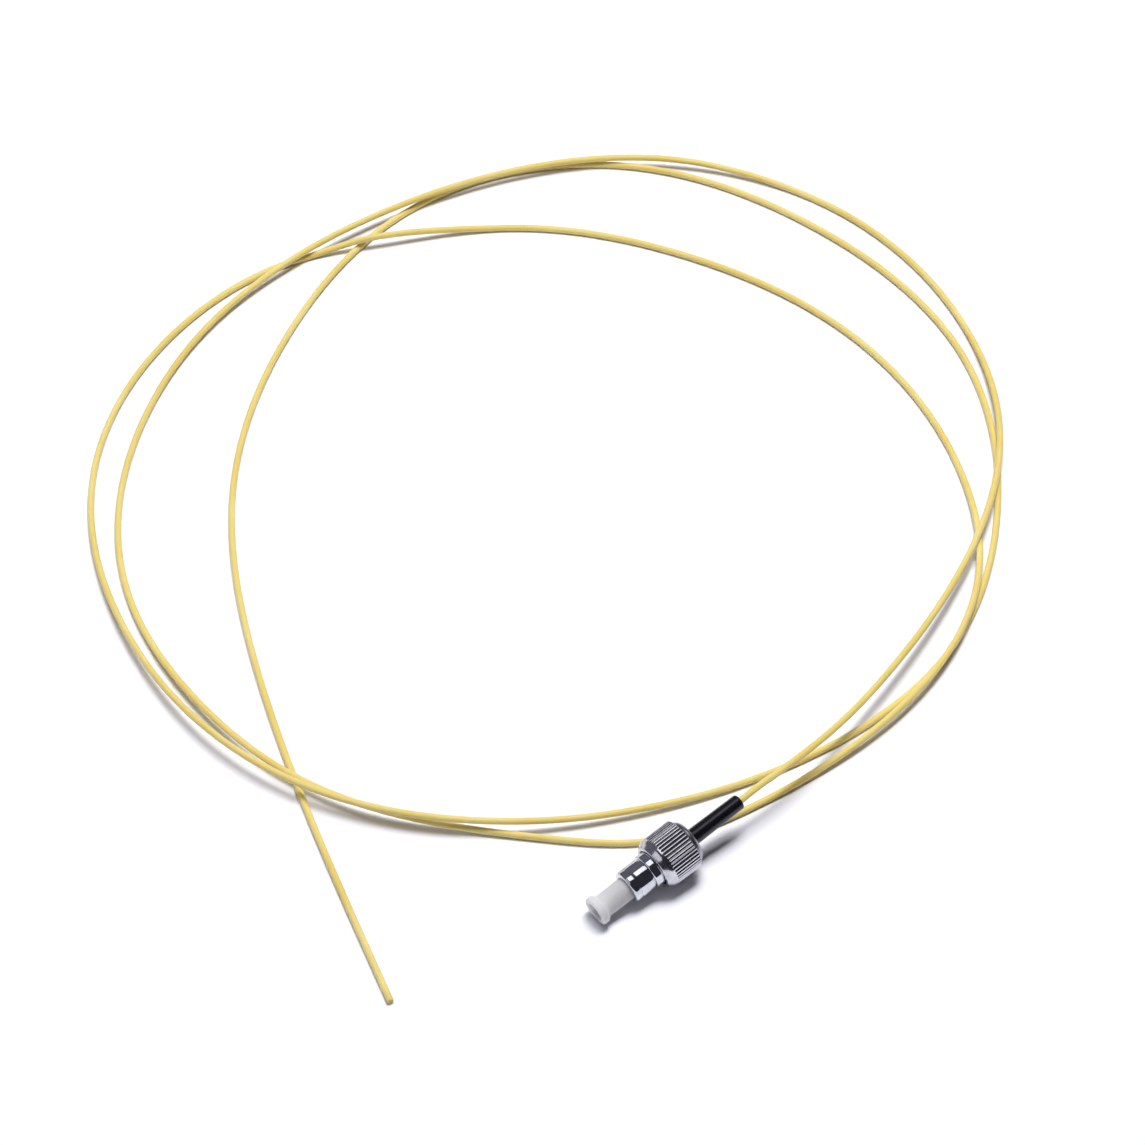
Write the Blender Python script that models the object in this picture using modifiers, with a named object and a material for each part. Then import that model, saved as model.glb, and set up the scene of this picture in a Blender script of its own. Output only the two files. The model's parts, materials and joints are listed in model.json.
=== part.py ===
# Fibre optic pigtail: a round threaded connector with its dust cap, a short boot,
# and a thin buffered fibre that lies in loose loops and ends in a plain cut.
# The connector lies nose down on its coupling nut and on the flange of its cap.
# Units are metres, +Z is up, +X runs from the nose of the connector to its boot.
# The origin is on the floor, under the middle of the connector.

import math

import bpy
import numpy as np

MM = 0.001

# Clearance kept between touching pieces
GAP = 0.3 * MM

# Distances along the connector are measured from the front of the dust cap
CAP_FLANGE_RADIUS = 2.8 * MM
CAP_FLANGE_LENGTH = 1.35 * MM
CAP_FLANGE_EDGE = 0.3 * MM
CAP_FILLET_LENGTH = 0.75 * MM
CAP_TUBE_RADIUS = 2.2 * MM
CAP_RECESS_RADIUS = 1.7 * MM
CAP_RECESS_DEPTH = 2.4 * MM
CAP_RECESS_DRAFT = 0.15 * MM
CAP_WEB = 1.2 * MM
CAP_INSERTION = 1.8 * MM

FERRULE_RADIUS = 1.25 * MM
FERRULE_LENGTH = 7.5 * MM
FERRULE_CHAMFER = 0.3 * MM

HOLDER_RADIUS = 1.9 * MM
HOLDER_FLOOR = 0.4 * MM
HOLDER_STEM_RADIUS = 0.85 * MM
HOLDER_STEM_LENGTH = 1.2 * MM
HOLDER_CLEARANCE = 0.4 * MM

SPRING_WIRE_RADIUS = 0.18 * MM
SPRING_LEAST_PITCH = 0.5 * MM
SPRING_POINTS_PER_TURN = 16

BARREL_START = 7.2 * MM
BARREL_RADIUS = 3.15 * MM
BARREL_LENGTH = 4.3 * MM
BARREL_CHAMFER = 0.15 * MM
RING_LINE_AT = 1.3 * MM
RING_LINE_WIDTH = 0.16 * MM
RING_LINE_DEPTH = 0.1 * MM
GROOVE_WIDTH = 0.3 * MM
GROOVE_DEPTH = 0.3 * MM
COLLAR_CLEARANCE = 0.2 * MM
COLLAR_LENGTH = 2.5 * MM
COLLAR_EDGE = 0.1 * MM
WEB_LENGTH = 0.7 * MM

BACK_FLANGE_STEP = 0.5 * MM
BACK_FLANGE_LENGTH = 0.8 * MM
BACK_TUBE_RADIUS = 1.6 * MM
BACK_TUBE_LENGTH = 3.8 * MM
BACK_STUB_RADIUS = 0.9 * MM
BACK_STUB_LENGTH = 2.5 * MM
BACK_BORE_RADIUS = 0.5 * MM

BOOT_FRONT_RADIUS = 1.6 * MM
BOOT_END_RADIUS = 1.45 * MM
BOOT_LENGTH = 14.3 * MM
BOOT_END_ROUND = 0.5 * MM

NUT_RADIUS = 5.0 * MM
NUT_LEAD = 1.2 * MM
NUT_SMOOTH_BAND = 0.5 * MM
NUT_KNURL_LENGTH = 5.6 * MM
NUT_RIM = 0.53 * MM
THREAD_RADIUS = 3.6 * MM
NUT_MOUTH_CHAMFER = 0.12 * MM
NUT_BACK_ROUND = 0.5 * MM
NUT_BACK_STEP = 0.9 * MM
NUT_CONE_LENGTH = 0.8 * MM
NUT_TAIL_WALL = 1.75 * MM
NUT_SHOULDER = 1.0 * MM
NUT_SHOULDER_GAP = 0.05 * MM
FLUTE_COUNT = 32
FLUTE_DEPTH = 0.24 * MM
STEPS_PER_FLUTE = 4

RING_CLEARANCE = 0.6 * MM
RING_THICKNESS = 0.9 * MM

CABLE_RADIUS = 0.65 * MM
CABLE_STRAIGHT = 6.0 * MM
CABLE_POINTS_PER_SPAN = 2

# The way the fibre lies, in millimetres, from the boot to the cut end: three loose
# loops, each strand in a long low hump where it passes over another
CABLE_ROUTE_MM = [
    (53.0, 5.5, 5.5),
    (89.5, 19.5, 3.6),
    (116.5, 39.0, 2.6),
    (135.0, 73.5, 0.8),
    (134.0, 114.0, 0.7),
    (116.0, 142.0, 2.2),
    (88.5, 158.5, 2.5),
    (53.5, 165.5, 2.8),
    (20.5, 163.5, 1.5),
    (-12.0, 147.5, 0.7),
    (-35.0, 120.0, 0.7),
    (-43.0, 83.0, 1.9),
    (-36.0, 49.0, 2.4),
    (-14.0, 21.5, 0.7),
    (3.5, 6.5, 0.7),
    (23.0, 1.5, 0.7),
    (58.5, 1.5, 2.4),
    (85.5, 12.5, 2.5),
    (107.0, 40.5, 0.7),
    (114.0, 81.5, 0.7),
    (102.5, 118.5, 0.7),
    (79.5, 147.0, 0.7),
    (56.0, 160.0, 2.7),
    (42.0, 166.0, 0.7),
    (8.5, 165.0, 0.7),
    (-24.5, 144.5, 0.7),
    (-44.5, 102.5, 2.4),
    (-44.5, 66.5, 4.0),
    (-28.0, 36.0, 3.7),
    (1.5, 15.0, 1.8),
    (34.5, 4.5, 0.7),
    (70.5, 5.5, 0.7),
    (105.5, 27.5, 0.7),
    (128.5, 64.5, 0.7),
    (128.0, 110.5, 0.7),
    (109.0, 147.0, 0.7),
    (73.5, 163.5, 0.7),
    (30.0, 152.5, 0.7),
    (-6.5, 123.5, 0.7),
    (-29.0, 85.0, 0.7),
    (-45.0, 42.0, 0.7),
    (-55.5, 8.5, 0.7),
]

ROUND_STEPS = 48
NUT_STEPS = FLUTE_COUNT * STEPS_PER_FLUTE
CORNER_STEPS = 3
WIRE_BEVEL_RESOLUTION = 2
SHARP_ANGLE = math.radians(30)
MERGE_DISTANCE = 0.001 * MM

# Radii that follow from what they fit
CAP_BORE_RADIUS = FERRULE_RADIUS + GAP
CAP_FACE_RADIUS = CAP_FLANGE_RADIUS - CAP_FLANGE_EDGE
BARREL_MOUTH_RADIUS = CAP_TUBE_RADIUS + GAP
CHAMBER_RADIUS = HOLDER_RADIUS + HOLDER_CLEARANCE
COLLAR_RADIUS = THREAD_RADIUS - COLLAR_CLEARANCE
BACK_FLANGE_RADIUS = COLLAR_RADIUS - BACK_FLANGE_STEP
RING_OUTER_RADIUS = THREAD_RADIUS - RING_CLEARANCE
RING_INNER_RADIUS = max(BACK_TUBE_RADIUS, BOOT_FRONT_RADIUS) + GAP
NUT_BORE_RADIUS = RING_INNER_RADIUS + NUT_SHOULDER_GAP
NUT_TAIL_RADIUS = NUT_BORE_RADIUS + NUT_TAIL_WALL
NUT_BACK_RADIUS = NUT_RADIUS - NUT_BACK_STEP
NUT_FACE_RADIUS = THREAD_RADIUS + NUT_MOUTH_CHAMFER + NUT_RIM
BOOT_FACE_RADIUS = BOOT_END_RADIUS - BOOT_END_ROUND

# Stations along the axis that follow from the sizes above
CAP_END = BARREL_START + CAP_INSERTION
CAP_BORE_FLOOR = CAP_RECESS_DEPTH + CAP_WEB
FERRULE_START = CAP_BORE_FLOOR + GAP
FERRULE_END = FERRULE_START + FERRULE_LENGTH
WEB_START = CAP_END + GAP
WEB_END = WEB_START + WEB_LENGTH
BARREL_END = BARREL_START + BARREL_LENGTH
COLLAR_START = BARREL_END + GROOVE_WIDTH
COLLAR_END = COLLAR_START + COLLAR_LENGTH
HOLDER_START = WEB_END + GAP
HOLDER_FLOOR_START = FERRULE_END + GAP
HOLDER_FLOOR_END = HOLDER_FLOOR_START + HOLDER_FLOOR
HOLDER_STEM_END = HOLDER_FLOOR_END + HOLDER_STEM_LENGTH
BACK_FLANGE_START = COLLAR_END + GAP
BACK_FLANGE_END = BACK_FLANGE_START + BACK_FLANGE_LENGTH
BACK_TUBE_END = BACK_FLANGE_END + BACK_TUBE_LENGTH
BACK_STUB_END = BACK_TUBE_END + BACK_STUB_LENGTH
BOOT_START = BACK_TUBE_END + GAP
BOOT_END = BOOT_START + BOOT_LENGTH
RING_START = BOOT_START + GAP
RING_END = RING_START + RING_THICKNESS
SHOULDER_START = RING_END + GAP
NUT_END = SHOULDER_START + NUT_SHOULDER
NUT_CONE_START = NUT_END - NUT_CONE_LENGTH
NUT_KNURL_END = NUT_CONE_START - NUT_BACK_ROUND
NUT_KNURL_START = NUT_KNURL_END - NUT_KNURL_LENGTH
NUT_EDGE = NUT_KNURL_START - NUT_SMOOTH_BAND
NUT_START = NUT_EDGE - NUT_LEAD

# The connector rests on the rim of the cap's flange and on the front edge of the nut
PITCH = math.atan2(NUT_RADIUS - CAP_FLANGE_RADIUS, NUT_EDGE - CAP_FLANGE_EDGE)
NOSE_HEIGHT = CAP_FLANGE_RADIUS * math.cos(PITCH) - CAP_FLANGE_EDGE * math.sin(PITCH)
REACH_FRONT = CAP_FACE_RADIUS * math.sin(PITCH)
REACH_BACK = BOOT_END * math.cos(PITCH) + BOOT_FACE_RADIUS * math.sin(PITCH)
NOSE_X = (REACH_FRONT - REACH_BACK) / 2


def clear_scene():
    for scene_object in list(bpy.data.objects):
        bpy.data.objects.remove(scene_object, do_unlink=True)


def surface(name, colour, metallic, roughness):
    material = bpy.data.materials.new(name)
    material.use_nodes = True
    shader = material.node_tree.nodes["Principled BSDF"]
    shader.inputs["Base Color"].default_value = (*colour, 1.0)
    shader.inputs["Metallic"].default_value = metallic
    shader.inputs["Roughness"].default_value = roughness
    return material


def add_axis(parts):
    # Local Z of this empty runs from the nose to the boot, local X points down
    axis = bpy.data.objects.new("connector_axis", None)
    parts.objects.link(axis)
    axis.location = (NOSE_X, 0.0, NOSE_HEIGHT)
    axis.rotation_euler = (0.0, math.pi / 2 - PITCH, 0.0)
    return axis


def profile_object(parts, points, closed):
    mesh = bpy.data.meshes.new("profile")
    edges = [(i, i + 1) for i in range(len(points) - 1)]
    if closed:
        edges.append((len(points) - 1, 0))
    mesh.from_pydata([(radius, 0.0, along) for radius, along in points], edges, [])
    profile = bpy.data.objects.new("profile", mesh)
    parts.objects.link(profile)
    return profile


def turned_mesh(parts, points, closed=False, steps=ROUND_STEPS):
    # The profile runs down the outer side, from the boot end to the nose end
    profile = profile_object(parts, points, closed)
    screw = profile.modifiers.new("turn", "SCREW")
    screw.axis = "Z"
    screw.angle = math.tau
    screw.steps = steps
    screw.render_steps = steps
    screw.use_merge_vertices = True
    screw.merge_threshold = MERGE_DISTANCE
    bpy.context.view_layer.update()
    evaluated = profile.evaluated_get(bpy.context.evaluated_depsgraph_get())
    mesh = bpy.data.meshes.new_from_object(evaluated)
    bpy.data.objects.remove(profile, do_unlink=True)
    return mesh


def add_piece(parts, axis, name, mesh, material):
    mesh.name = name
    mesh.materials.append(material)
    mesh.shade_smooth()
    mesh.set_sharp_from_angle(angle=SHARP_ANGLE)
    piece = bpy.data.objects.new(name, mesh)
    parts.objects.link(piece)
    piece.parent = axis
    return piece


def add_turned(parts, axis, name, points, material, closed=False):
    return add_piece(parts, axis, name, turned_mesh(parts, points, closed), material)


def quarter_arc(start, end):
    # A quarter of an ellipse that leaves its start across the axis and ends along it
    points = []
    for i in range(CORNER_STEPS + 1):
        angle = math.pi / 2 * i / CORNER_STEPS
        radius = start[0] + (end[0] - start[0]) * math.sin(angle)
        along = start[1] + (end[1] - start[1]) * (1 - math.cos(angle))
        points.append((radius, along))
    return points


def add_dust_cap(parts, axis):
    flange_back = (CAP_FLANGE_RADIUS, CAP_FLANGE_LENGTH)
    fillet_end = (CAP_TUBE_RADIUS, CAP_FLANGE_LENGTH + CAP_FILLET_LENGTH)
    points = [
        (0.0, CAP_BORE_FLOOR),
        (CAP_BORE_RADIUS, CAP_BORE_FLOOR),
        (CAP_BORE_RADIUS, CAP_END),
        (CAP_TUBE_RADIUS, CAP_END),
        *reversed(quarter_arc(flange_back, fillet_end)),
        (CAP_FLANGE_RADIUS, CAP_FLANGE_EDGE),
        (CAP_FACE_RADIUS, 0.0),
        (CAP_RECESS_RADIUS, 0.0),
        (CAP_RECESS_RADIUS - CAP_RECESS_DRAFT, CAP_RECESS_DEPTH),
        (0.0, CAP_RECESS_DEPTH),
    ]
    material = surface("milky_polyethylene", (0.78, 0.79, 0.8), 0.0, 0.35)
    return add_turned(parts, axis, "dust_cap", points, material)


def add_ferrule(parts, axis):
    points = [
        (0.0, FERRULE_END),
        (FERRULE_RADIUS, FERRULE_END),
        (FERRULE_RADIUS, FERRULE_START + FERRULE_CHAMFER),
        (FERRULE_RADIUS - FERRULE_CHAMFER, FERRULE_START),
        (0.0, FERRULE_START),
    ]
    material = surface("zirconia", (0.92, 0.92, 0.9), 0.0, 0.12)
    return add_turned(parts, axis, "ferrule", points, material)


def add_ferrule_holder(parts, axis):
    points = [
        (0.0, HOLDER_STEM_END),
        (HOLDER_STEM_RADIUS, HOLDER_STEM_END),
        (HOLDER_STEM_RADIUS, HOLDER_FLOOR_END),
        (HOLDER_RADIUS, HOLDER_FLOOR_END),
        (HOLDER_RADIUS, HOLDER_START),
        (FERRULE_RADIUS + GAP, HOLDER_START),
        (FERRULE_RADIUS + GAP, HOLDER_FLOOR_START),
        (0.0, HOLDER_FLOOR_START),
    ]
    material = surface("plain_brass", (0.72, 0.55, 0.28), 1.0, 0.3)
    return add_turned(parts, axis, "ferrule_holder", points, material)


def add_spring(parts, axis):
    # It fills the room between the holder and the back flange with whole turns
    coil_radius = HOLDER_STEM_RADIUS + GAP + SPRING_WIRE_RADIUS
    start = HOLDER_FLOOR_END + GAP + SPRING_WIRE_RADIUS
    room = BACK_FLANGE_START - GAP - SPRING_WIRE_RADIUS - start
    turns = max(1, int(room / SPRING_LEAST_PITCH))
    curve = bpy.data.curves.new("spring", "CURVE")
    curve.dimensions = "3D"
    curve.bevel_depth = SPRING_WIRE_RADIUS
    curve.bevel_resolution = WIRE_BEVEL_RESOLUTION
    curve.use_fill_caps = True
    count = turns * SPRING_POINTS_PER_TURN + 1
    spline = curve.splines.new("POLY")
    spline.points.add(count - 1)
    for i in range(count):
        turn = i / SPRING_POINTS_PER_TURN
        x = coil_radius * math.cos(math.tau * turn)
        y = coil_radius * math.sin(math.tau * turn)
        spline.points[i].co = (x, y, start + room * turn / turns, 1.0)
    curve.materials.append(surface("spring_steel", (0.6, 0.6, 0.6), 1.0, 0.25))
    spring = bpy.data.objects.new("spring", curve)
    parts.objects.link(spring)
    spring.parent = axis
    return spring


def add_plug_frame(parts, axis):
    line_start = BARREL_START + RING_LINE_AT
    line_end = line_start + RING_LINE_WIDTH
    line_radius = BARREL_RADIUS - RING_LINE_DEPTH
    groove_radius = BARREL_RADIUS - GROOVE_DEPTH
    points = [
        (COLLAR_RADIUS - COLLAR_EDGE, COLLAR_END),
        (COLLAR_RADIUS, COLLAR_END - COLLAR_EDGE),
        (COLLAR_RADIUS, COLLAR_START + COLLAR_EDGE),
        (COLLAR_RADIUS - COLLAR_EDGE, COLLAR_START),
        (groove_radius, COLLAR_START),
        (groove_radius, BARREL_END),
        (BARREL_RADIUS, BARREL_END),
        (BARREL_RADIUS, line_end),
        (line_radius, line_end),
        (line_radius, line_start),
        (BARREL_RADIUS, line_start),
        (BARREL_RADIUS, BARREL_START + BARREL_CHAMFER),
        (BARREL_RADIUS - BARREL_CHAMFER, BARREL_START),
        (BARREL_MOUTH_RADIUS, BARREL_START),
        (BARREL_MOUTH_RADIUS, WEB_START),
        (FERRULE_RADIUS + GAP, WEB_START),
        (FERRULE_RADIUS + GAP, WEB_END),
        (CHAMBER_RADIUS, WEB_END),
        (CHAMBER_RADIUS, COLLAR_END),
    ]
    material = surface("nickel_plated_brass", (0.74, 0.75, 0.78), 1.0, 0.12)
    return add_turned(parts, axis, "plug_frame", points, material, closed=True)


def add_rear_body(parts, axis):
    points = [
        (BACK_STUB_RADIUS, BACK_STUB_END),
        (BACK_STUB_RADIUS, BACK_TUBE_END),
        (BACK_TUBE_RADIUS, BACK_TUBE_END),
        (BACK_TUBE_RADIUS, BACK_FLANGE_END),
        (BACK_FLANGE_RADIUS, BACK_FLANGE_END),
        (BACK_FLANGE_RADIUS, BACK_FLANGE_START),
        (BACK_BORE_RADIUS, BACK_FLANGE_START),
        (BACK_BORE_RADIUS, BACK_STUB_END),
    ]
    material = surface("turned_brass_nickel", (0.7, 0.7, 0.72), 1.0, 0.2)
    return add_turned(parts, axis, "rear_body", points, material, closed=True)


def add_retaining_ring(parts, axis):
    points = [
        (RING_OUTER_RADIUS, RING_END),
        (RING_OUTER_RADIUS, RING_START),
        (RING_INNER_RADIUS, RING_START),
        (RING_INNER_RADIUS, RING_END),
    ]
    material = surface("bright_steel", (0.62, 0.62, 0.64), 1.0, 0.25)
    return add_turned(parts, axis, "retaining_ring", points, material, closed=True)


def add_boot(parts, axis):
    socket_radius = BACK_STUB_RADIUS + GAP
    end_face = (BOOT_FACE_RADIUS, BOOT_END)
    round_start = (BOOT_END_RADIUS, BOOT_END - BOOT_END_ROUND)
    points = [
        (0.0, BOOT_END),
        *quarter_arc(end_face, round_start),
        (BOOT_FRONT_RADIUS, BOOT_START),
        (socket_radius, BOOT_START),
        (socket_radius, BACK_STUB_END + GAP),
        (0.0, BACK_STUB_END + GAP),
    ]
    material = surface("black_pvc", (0.012, 0.012, 0.018), 0.0, 0.3)
    return add_turned(parts, axis, "boot", points, material)


def add_coupling_nut(parts, axis):
    cone_start = (NUT_BACK_RADIUS, NUT_CONE_START)
    knurl_end = (NUT_RADIUS, NUT_KNURL_END)
    points = [
        (NUT_TAIL_RADIUS, NUT_END),
        *quarter_arc(cone_start, knurl_end),
        (NUT_RADIUS, NUT_KNURL_START),
        (NUT_RADIUS, NUT_KNURL_START - FLUTE_DEPTH),
        (NUT_RADIUS, NUT_EDGE),
        (NUT_FACE_RADIUS, NUT_START),
        (THREAD_RADIUS + NUT_MOUTH_CHAMFER, NUT_START),
        (THREAD_RADIUS, NUT_START + NUT_MOUTH_CHAMFER),
        (THREAD_RADIUS, SHOULDER_START),
        (NUT_BORE_RADIUS, SHOULDER_START),
        (NUT_BORE_RADIUS, NUT_END),
    ]
    material = surface("polished_nickel", (0.74, 0.75, 0.78), 1.0, 0.16)
    mesh = turned_mesh(parts, points, closed=True, steps=NUT_STEPS)
    press_flutes(mesh)
    return add_piece(parts, axis, "coupling_nut", mesh, material)


def press_flutes(mesh):
    # Round-bottomed flutes: each one is drawn in between two ridges of the blank
    tolerance = 0.01 * MM
    for vertex in mesh.vertices:
        x, y, along = vertex.co
        radius = math.hypot(x, y)
        in_knurl = NUT_KNURL_START - tolerance < along < NUT_KNURL_END + tolerance
        if not in_knurl or radius < NUT_RADIUS - tolerance:
            continue
        phase = math.atan2(y, x) * FLUTE_COUNT
        drawn = (radius - FLUTE_DEPTH * (1 - math.cos(phase)) / 2) / radius
        vertex.co = (x * drawn, y * drawn, along)


def spline_slopes(along, values):
    # Slopes of the natural cubic spline through the values
    count = len(along)
    step = np.diff(along)
    rise = np.diff(values) / step
    matrix = np.zeros((count, count))
    target = np.zeros(count)
    matrix[0, 0] = matrix[-1, -1] = 2.0
    matrix[0, 1] = matrix[-1, -2] = 1.0
    target[0] = 3 * rise[0]
    target[-1] = 3 * rise[-1]
    for i in range(1, count - 1):
        matrix[i, i - 1] = step[i]
        matrix[i, i] = 2 * (step[i - 1] + step[i])
        matrix[i, i + 1] = step[i - 1]
        target[i] = 3 * (step[i] * rise[i - 1] + step[i - 1] * rise[i])
    return np.linalg.solve(matrix, target)


def level_slopes(along, values):
    # Slopes that never carry the curve past a value, so that it stays off the floor
    rise = np.diff(values) / np.diff(along)
    slopes = np.zeros(len(values))
    slopes[0] = rise[0]
    slopes[-1] = rise[-1]
    for i in range(1, len(values) - 1):
        if rise[i - 1] * rise[i] > 0:
            slopes[i] = 2 * rise[i - 1] * rise[i] / (rise[i - 1] + rise[i])
    return slopes


def smooth_route(points, per_span):
    points = np.array(points)
    spans = np.linalg.norm(np.diff(points, axis=0), axis=1)
    along = np.concatenate(([0.0], np.cumsum(spans)))
    slopes = np.stack([
        spline_slopes(along, points[:, 0]),
        spline_slopes(along, points[:, 1]),
        level_slopes(along, points[:, 2]),
    ], axis=1)
    line = []
    for i, span in enumerate(spans):
        for k in range(per_span):
            u = k / per_span
            start = (2 * u**3 - 3 * u**2 + 1) * points[i]
            leave = (u**3 - 2 * u**2 + u) * span * slopes[i]
            end = (3 * u**2 - 2 * u**3) * points[i + 1]
            arrive = (u**3 - u**2) * span * slopes[i + 1]
            line.append(start + leave + end + arrive)
    line.append(points[-1])
    return line


def add_cable(parts):
    along_axis = np.array([math.cos(PITCH), 0.0, math.sin(PITCH)])
    boot_end = np.array([NOSE_X, 0.0, NOSE_HEIGHT]) + along_axis * BOOT_END
    route = [boot_end + along_axis * GAP, boot_end + along_axis * CABLE_STRAIGHT]
    route += [np.array(point) * MM for point in CABLE_ROUTE_MM]
    line = smooth_route(route, CABLE_POINTS_PER_SPAN)
    curve = bpy.data.curves.new("cable", "CURVE")
    curve.dimensions = "3D"
    curve.bevel_depth = CABLE_RADIUS
    curve.bevel_resolution = WIRE_BEVEL_RESOLUTION
    curve.use_fill_caps = True
    spline = curve.splines.new("POLY")
    spline.points.add(len(line) - 1)
    for point, place in zip(spline.points, line):
        point.co = (*place, 1.0)
    curve.materials.append(surface("yellow_buffer", (0.8, 0.62, 0.16), 0.0, 0.4))
    cable = bpy.data.objects.new("cable", curve)
    parts.objects.link(cable)
    return cable


def main():
    clear_scene()
    parts = bpy.data.collections.new("fibre_pigtail")
    bpy.context.scene.collection.children.link(parts)
    axis = add_axis(parts)
    add_dust_cap(parts, axis)
    add_ferrule(parts, axis)
    add_ferrule_holder(parts, axis)
    add_spring(parts, axis)
    add_plug_frame(parts, axis)
    add_rear_body(parts, axis)
    add_retaining_ring(parts, axis)
    add_coupling_nut(parts, axis)
    add_boot(parts, axis)
    add_cable(parts)


main()
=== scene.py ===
# Looks of the fibre optic pigtail: a nickel plated threaded connector with a milky
# dust cap, a black boot and a thin yellow fibre that lies in loose loops.
import json
import math

import bmesh
import bpy
import numpy as np
from mathutils import Matrix, Vector


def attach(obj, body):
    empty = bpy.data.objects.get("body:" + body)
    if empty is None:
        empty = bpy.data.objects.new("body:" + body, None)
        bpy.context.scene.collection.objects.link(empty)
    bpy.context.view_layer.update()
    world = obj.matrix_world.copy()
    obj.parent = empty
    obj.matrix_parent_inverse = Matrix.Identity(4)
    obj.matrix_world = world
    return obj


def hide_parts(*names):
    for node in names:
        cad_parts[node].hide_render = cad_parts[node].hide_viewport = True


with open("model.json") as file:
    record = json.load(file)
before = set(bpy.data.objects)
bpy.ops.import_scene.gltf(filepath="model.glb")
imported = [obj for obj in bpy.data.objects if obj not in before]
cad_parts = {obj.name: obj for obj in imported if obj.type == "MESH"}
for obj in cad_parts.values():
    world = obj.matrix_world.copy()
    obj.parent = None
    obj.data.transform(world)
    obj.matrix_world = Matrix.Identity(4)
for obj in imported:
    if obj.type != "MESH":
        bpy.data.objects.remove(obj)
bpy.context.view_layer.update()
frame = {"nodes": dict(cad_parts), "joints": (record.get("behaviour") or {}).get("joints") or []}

MM = 0.001

# Camera: it looks down at the loops from in front, a little to the left
CAMERA_DISTANCE = 0.8
CAMERA_ELEVATION = math.radians(49.0)
CAMERA_HEADING = math.radians(38.8)
CAMERA_AIM = Vector((0.03174, 0.06638, 0.0))
CAMERA_LENS = 132.3
CAMERA_SENSOR = 36.0

# Sizes of the connector's pieces: radii, and places along its axis from the nose
FERRULE_RADIUS = 1.25 * MM
FERRULE_START = 3.9 * MM
FERRULE_END = 11.4 * MM
FERRULE_CHAMFER = 0.3 * MM
FERRULE_DOME = 0.04 * MM
FERRULE_ROUND = 0.05 * MM
FERRULE_GAP = 0.3 * MM

CAP_FLANGE_RADIUS = 2.8 * MM
CAP_FLANGE_END = 1.25 * MM
CAP_FLANGE_ROUND = 0.4 * MM
CAP_FLANGE_BACK_ROUND = 0.25 * MM
CAP_NECK_END = 1.75 * MM
CAP_NECK_ROUND = 0.35 * MM
CAP_TUBE_RADIUS = 2.2 * MM
CAP_LIP_RADIUS = 1.65 * MM
CAP_LIP_ROUND = 0.2 * MM
CAP_RECESS_RADIUS = 1.5 * MM
CAP_RECESS_END = 1.3 * MM
CAP_BORE_RADIUS = FERRULE_RADIUS + FERRULE_GAP
CAP_BORE_START = FERRULE_START - FERRULE_GAP
CAP_END = 9.0 * MM
CAP_EDGE_ROUND = 0.15 * MM

BARREL_RADIUS = 3.15 * MM
BARREL_MOUTH_RADIUS = 2.27 * MM
BARREL_START = 7.2 * MM
BARREL_END = 11.5 * MM
BARREL_CHAMFER = 0.5 * MM
BARREL_EDGE_ROUND = 0.06 * MM
RING_LINE_START = 8.5 * MM
RING_LINE_END = 8.66 * MM
RING_LINE_DEPTH = 0.1 * MM
RING_LINE_ROUND = 0.03 * MM
GROOVE_DEPTH = 0.3 * MM
COLLAR_RADIUS = 3.4 * MM
COLLAR_START = 11.8 * MM
COLLAR_END = 14.3 * MM
COLLAR_ROUND = 0.3 * MM
CHAMBER_RADIUS = 2.3 * MM
WEB_START = 9.3 * MM
WEB_END = 10.0 * MM

NUT_RADIUS = 5.0 * MM
NUT_FACE_RADIUS = 4.25 * MM
NUT_START = 13.4 * MM
NUT_EDGE = 14.6 * MM
NUT_EDGE_ROUND = 0.4 * MM
NUT_LINE = 15.1 * MM
NUT_KNURL_END = 20.7 * MM
NUT_KNURL_ROUND = 0.2 * MM
NUT_NECK_RADIUS = 4.05 * MM
NUT_NECK_END = 21.0 * MM
NUT_COLLAR_RADIUS = 4.15 * MM
NUT_COLLAR_START = 21.15 * MM
NUT_COLLAR_END = 21.45 * MM
NUT_COLLAR_ROUND = 0.06 * MM
NUT_TAIL_RADIUS = 3.7 * MM
NUT_END = 22.0 * MM
NUT_FACE_ROUND = 0.15 * MM
NUT_BORE_RADIUS = 1.95 * MM
NUT_SHOULDER_START = 21.0 * MM
THREAD_RADIUS = 3.6 * MM
THREAD_CHAMFER = 0.12 * MM
FLUTE_COUNT = 42
FLUTE_DEPTH = 0.15 * MM
FLUTE_REACH = 0.3 * MM
FLUTE_RUN_OUT = 0.3 * MM
FLUTE_RUN_OUT_RINGS = 5
FLUTE_STEPS = 12

BOOT_FRONT_RADIUS = 1.6 * MM
BOOT_END_RADIUS = 1.45 * MM
BOOT_START = 19.5 * MM
BOOT_END = 33.8 * MM
BOOT_ROUND = 0.45 * MM
BOOT_EDGE_ROUND = 0.1 * MM
BOOT_SOCKET_RADIUS = 1.2 * MM
BOOT_SOCKET_END = 22.0 * MM
BOOT_BORE_RADIUS = 0.7 * MM

CABLE_RADIUS = 0.65 * MM
CABLE_START = 33.3 * MM
CABLE_STRAIGHT = 6.0 * MM
CABLE_STEPS_PER_SPAN = 12
CABLE_SIDE_STEPS = 6
CABLE_END_CHAMFER = 0.12 * MM

ROUND_STEPS = 160
MERGE_DISTANCE = 0.0005 * MM
SHARP_ANGLE = math.radians(32)

# The connector leans on its cap's flange and its nut's front edge. The joint that the nut
# turns about has its place at the nose
CAP_TOUCH = 0.3 * MM
PITCH = math.atan2(NUT_RADIUS - CAP_FLANGE_RADIUS, NUT_EDGE - CAP_TOUCH)
NUT_SPIN = next(joint for joint in frame["joints"] if joint["name"] == "nut_spin")
NOSE = Vector(NUT_SPIN["pos_m"])
AXIS = Matrix.Translation(NOSE) @ Matrix.Rotation(math.pi / 2 - PITCH, 4, "Y")

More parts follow.
